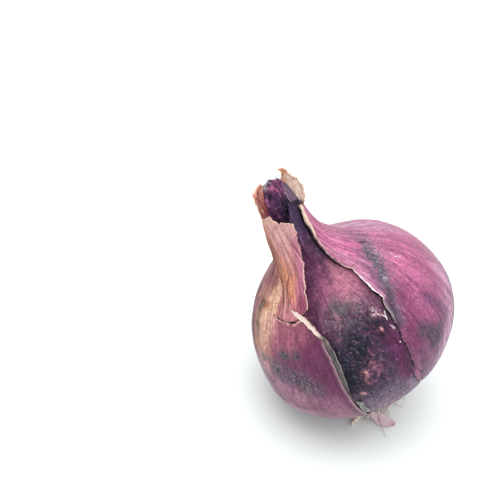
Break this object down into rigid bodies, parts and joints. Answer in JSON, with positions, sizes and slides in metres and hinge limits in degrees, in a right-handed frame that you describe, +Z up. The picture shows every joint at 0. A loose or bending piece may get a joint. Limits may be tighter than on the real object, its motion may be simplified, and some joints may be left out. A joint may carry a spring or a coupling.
{
  "type": "red onion",
  "caption": "Red onion with a papery outer skin torn open in front, a dry leaning neck with loose scales and a tuft of dry roots, resting on a small flat spot.",
  "frame": {"origin": "on the resting surface, under the middle of the onion's bounding box", "axes": "+Z is up; the torn front faces -Y; the neck leans up towards -X"},
  "size_m": [0.079, 0.0817, 0.0923],
  "materials": {
    "inner_skin": "satin, mottled dark purple",
    "outer_skin": "dry papery skin with a soft sheen, magenta to purple with fine lengthwise veins",
    "dull_skin": "matte grey-green dried membrane",
    "dry_skin": "matte tan-pink dried skin with lengthwise fibres",
    "tan_scale": "matte orange-tan dried scale",
    "cream_scale": "matte cream dried scale with brown veins",
    "purple_scale": "matte dull purple dried leaf tip",
    "dry_root": "matte straw-coloured dried roots",
    "pale_flake": "thin translucent pink scrap of skin"
  },
  "bodies": {
    "root": {"bulb": "inner_skin", "outer_skin": "outer_skin", "inner_skin_edge": "dull_skin", "tear_flake": "dull_skin", "neck_strip": "dry_skin", "neck_scale_left": "tan_scale", "neck_scale_right": "cream_scale", "neck_scale_inner": "purple_scale", "root_tuft": "dry_root", "base_flake": "pale_flake"}
  },
  "joints": []
}
